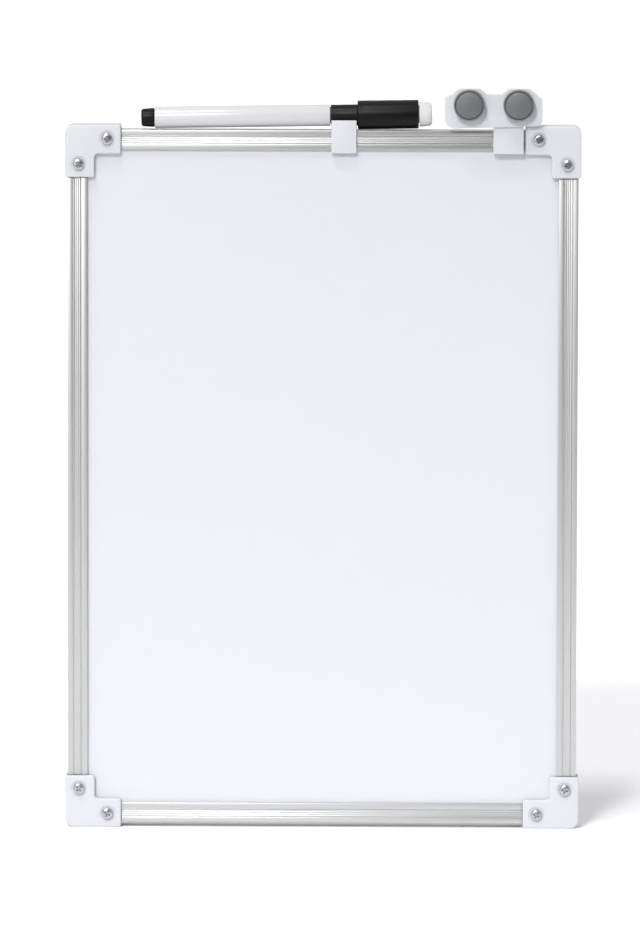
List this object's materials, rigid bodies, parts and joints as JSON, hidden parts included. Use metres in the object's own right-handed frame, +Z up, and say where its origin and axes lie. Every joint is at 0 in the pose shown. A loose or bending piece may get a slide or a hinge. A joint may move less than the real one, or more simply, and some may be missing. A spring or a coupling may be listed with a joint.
{
  "type": "framed magnetic whiteboard",
  "caption": "Small upright magnetic dry-erase board with ribbed aluminium rails, white corner caps, a clipped marker and a magnet holder.",
  "frame": {"origin": "under the middle of the whole object's box, on the surface that the bottom corner caps stand on", "axes": "+Z up along the board's height, +X to the right as seen by the writer, -Y out of the writing surface towards the writer"},
  "size_m": [0.21, 0.0194, 0.3035],
  "materials": {
    "anodised_aluminium": "extruded and clear anodised, fine lines along its length",
    "coated_steel": "smooth white dry-erase coating",
    "fibreboard": "raw fibreboard",
    "backing_card": "grey card",
    "white_plastic": "injection moulded, satin",
    "screw_steel": "bright nickel plate",
    "barrel_plastic": "glossy extruded tube",
    "black_plastic": "moulded, satin",
    "ink_felt": "ink-soaked fibre",
    "eraser_felt": "pressed felt",
    "grey_plastic": "moulded, satin",
    "steel_disc": "tumbled and plated, speckled",
    "ferrite": "sintered, dull"
  },
  "bodies": {
    "board": {"rail_left": "anodised_aluminium", "rail_right": "anodised_aluminium", "rail_top": "anodised_aluminium", "rail_bottom": "anodised_aluminium", "writing_sheet": "coated_steel", "core_board": "fibreboard", "backing_sheet": "backing_card", "corner_cap_top_left": "white_plastic", "corner_cap_top_right": "white_plastic", "corner_cap_bottom_left": "white_plastic", "corner_cap_bottom_right": "white_plastic", "screw_top_left_end_rail": "screw_steel", "screw_top_left_side_rail": "screw_steel", "screw_top_right_end_rail": "screw_steel", "screw_top_right_side_rail": "screw_steel", "screw_bottom_left_end_rail": "screw_steel", "screw_bottom_left_side_rail": "screw_steel", "screw_bottom_right_end_rail": "screw_steel", "screw_bottom_right_side_rail": "screw_steel"},
    "clip": {"marker_clip": "white_plastic"},
    "marker": {"marker_barrel": "barrel_plastic", "marker_end_plug": "black_plastic", "ink_reservoir": "ink_felt", "nib_holder": "black_plastic", "nib": "ink_felt"},
    "cap": {"marker_cap": "black_plastic", "felt_eraser": "eraser_felt"},
    "holder": {"magnet_holder": "white_plastic", "keeper_disc_left": "steel_disc", "keeper_disc_right": "steel_disc"},
    "magnet_left": {"magnet_housing_left": "grey_plastic", "magnet_face_disc_left": "steel_disc", "ferrite_disc_left": "ferrite"},
    "magnet_right": {"magnet_housing_right": "grey_plastic", "magnet_face_disc_right": "steel_disc", "ferrite_disc_right": "ferrite"}
  },
  "joints": [
    {"name": "clip_slide", "type": "slide", "parent": "board", "child": "clip", "axis": [1, 0, 0], "range_m": [0, 0.008]},
    {"name": "cap_lift", "type": "slide", "parent": "clip", "child": "cap", "axis": [0, 0, 1], "range_m": [0, 0.04]},
    {"name": "marker_pull", "type": "slide", "parent": "cap", "child": "marker", "axis": [-0.9999, 0, -0.0153], "range_m": [0, 0.008]},
    {"name": "holder_slide", "type": "slide", "parent": "board", "child": "holder", "axis": [1, 0, 0], "range_m": [-0.009, 0]},
    {"name": "magnet_left_pull", "type": "slide", "parent": "holder", "child": "magnet_left", "axis": [0, -1, 0], "range_m": [0, 0.03]},
    {"name": "magnet_right_pull", "type": "slide", "parent": "holder", "child": "magnet_right", "axis": [0, -1, 0], "range_m": [0, 0.03]}
  ]
}
